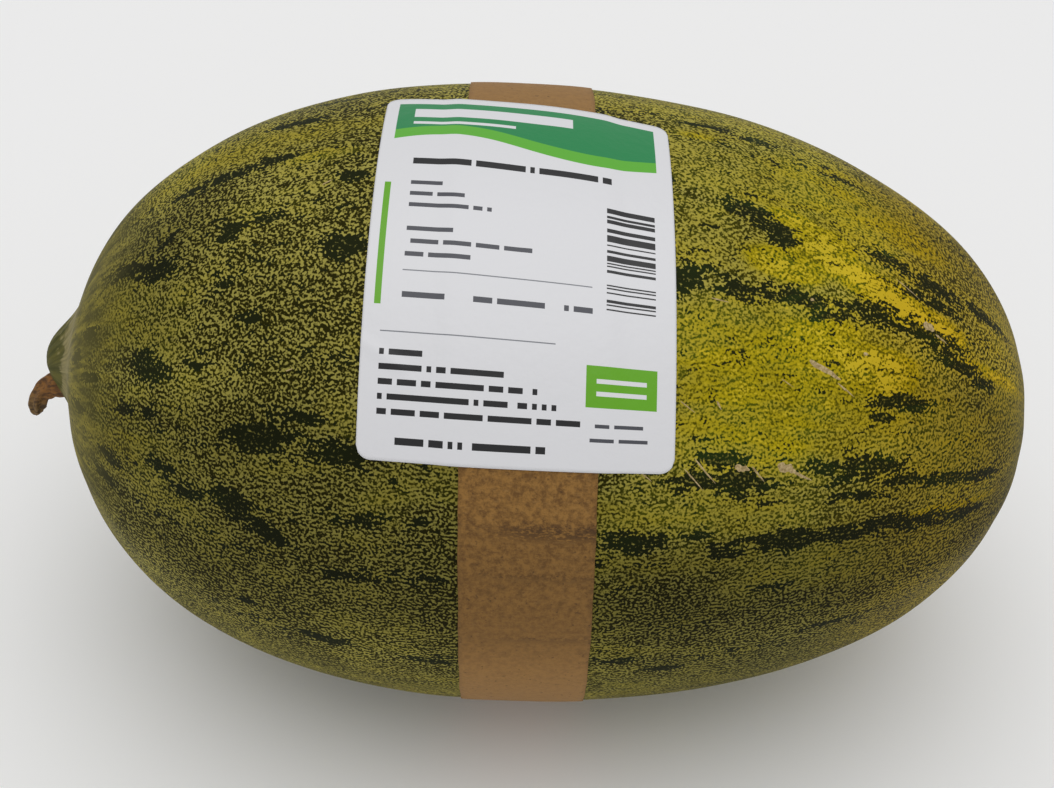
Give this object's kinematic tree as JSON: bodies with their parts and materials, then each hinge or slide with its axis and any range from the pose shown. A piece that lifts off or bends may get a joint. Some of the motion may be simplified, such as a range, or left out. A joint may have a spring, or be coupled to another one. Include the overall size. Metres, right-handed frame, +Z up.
{
  "type": "piel de sapo melon",
  "caption": "Long oval green melon with a speckled rind, lying on its side with a brown paper band round its middle and a blank form label.",
  "frame": {"origin": "on the surface that the melon rests on, at the middle of the paper band's flat underside", "axes": "+X along the fruit from the stem to the blossom end, the label faces -Y and up, +Z up"},
  "size_m": [0.2797, 0.1733, 0.172],
  "materials": {
    "melon_rind": "ripe melon rind: dark green ground under a fine yellow speckle, with dark blotches, softly waxy",
    "dried_stem": "dried stem, brown and matt",
    "kraft_paper": "brown kraft paper, matt and fibrous",
    "label_paper": "white coated label paper, satin"
  },
  "bodies": {
    "root": {"fruit": "melon_rind", "stem": "dried_stem", "paper_band": "kraft_paper", "label": "label_paper"}
  },
  "joints": []
}
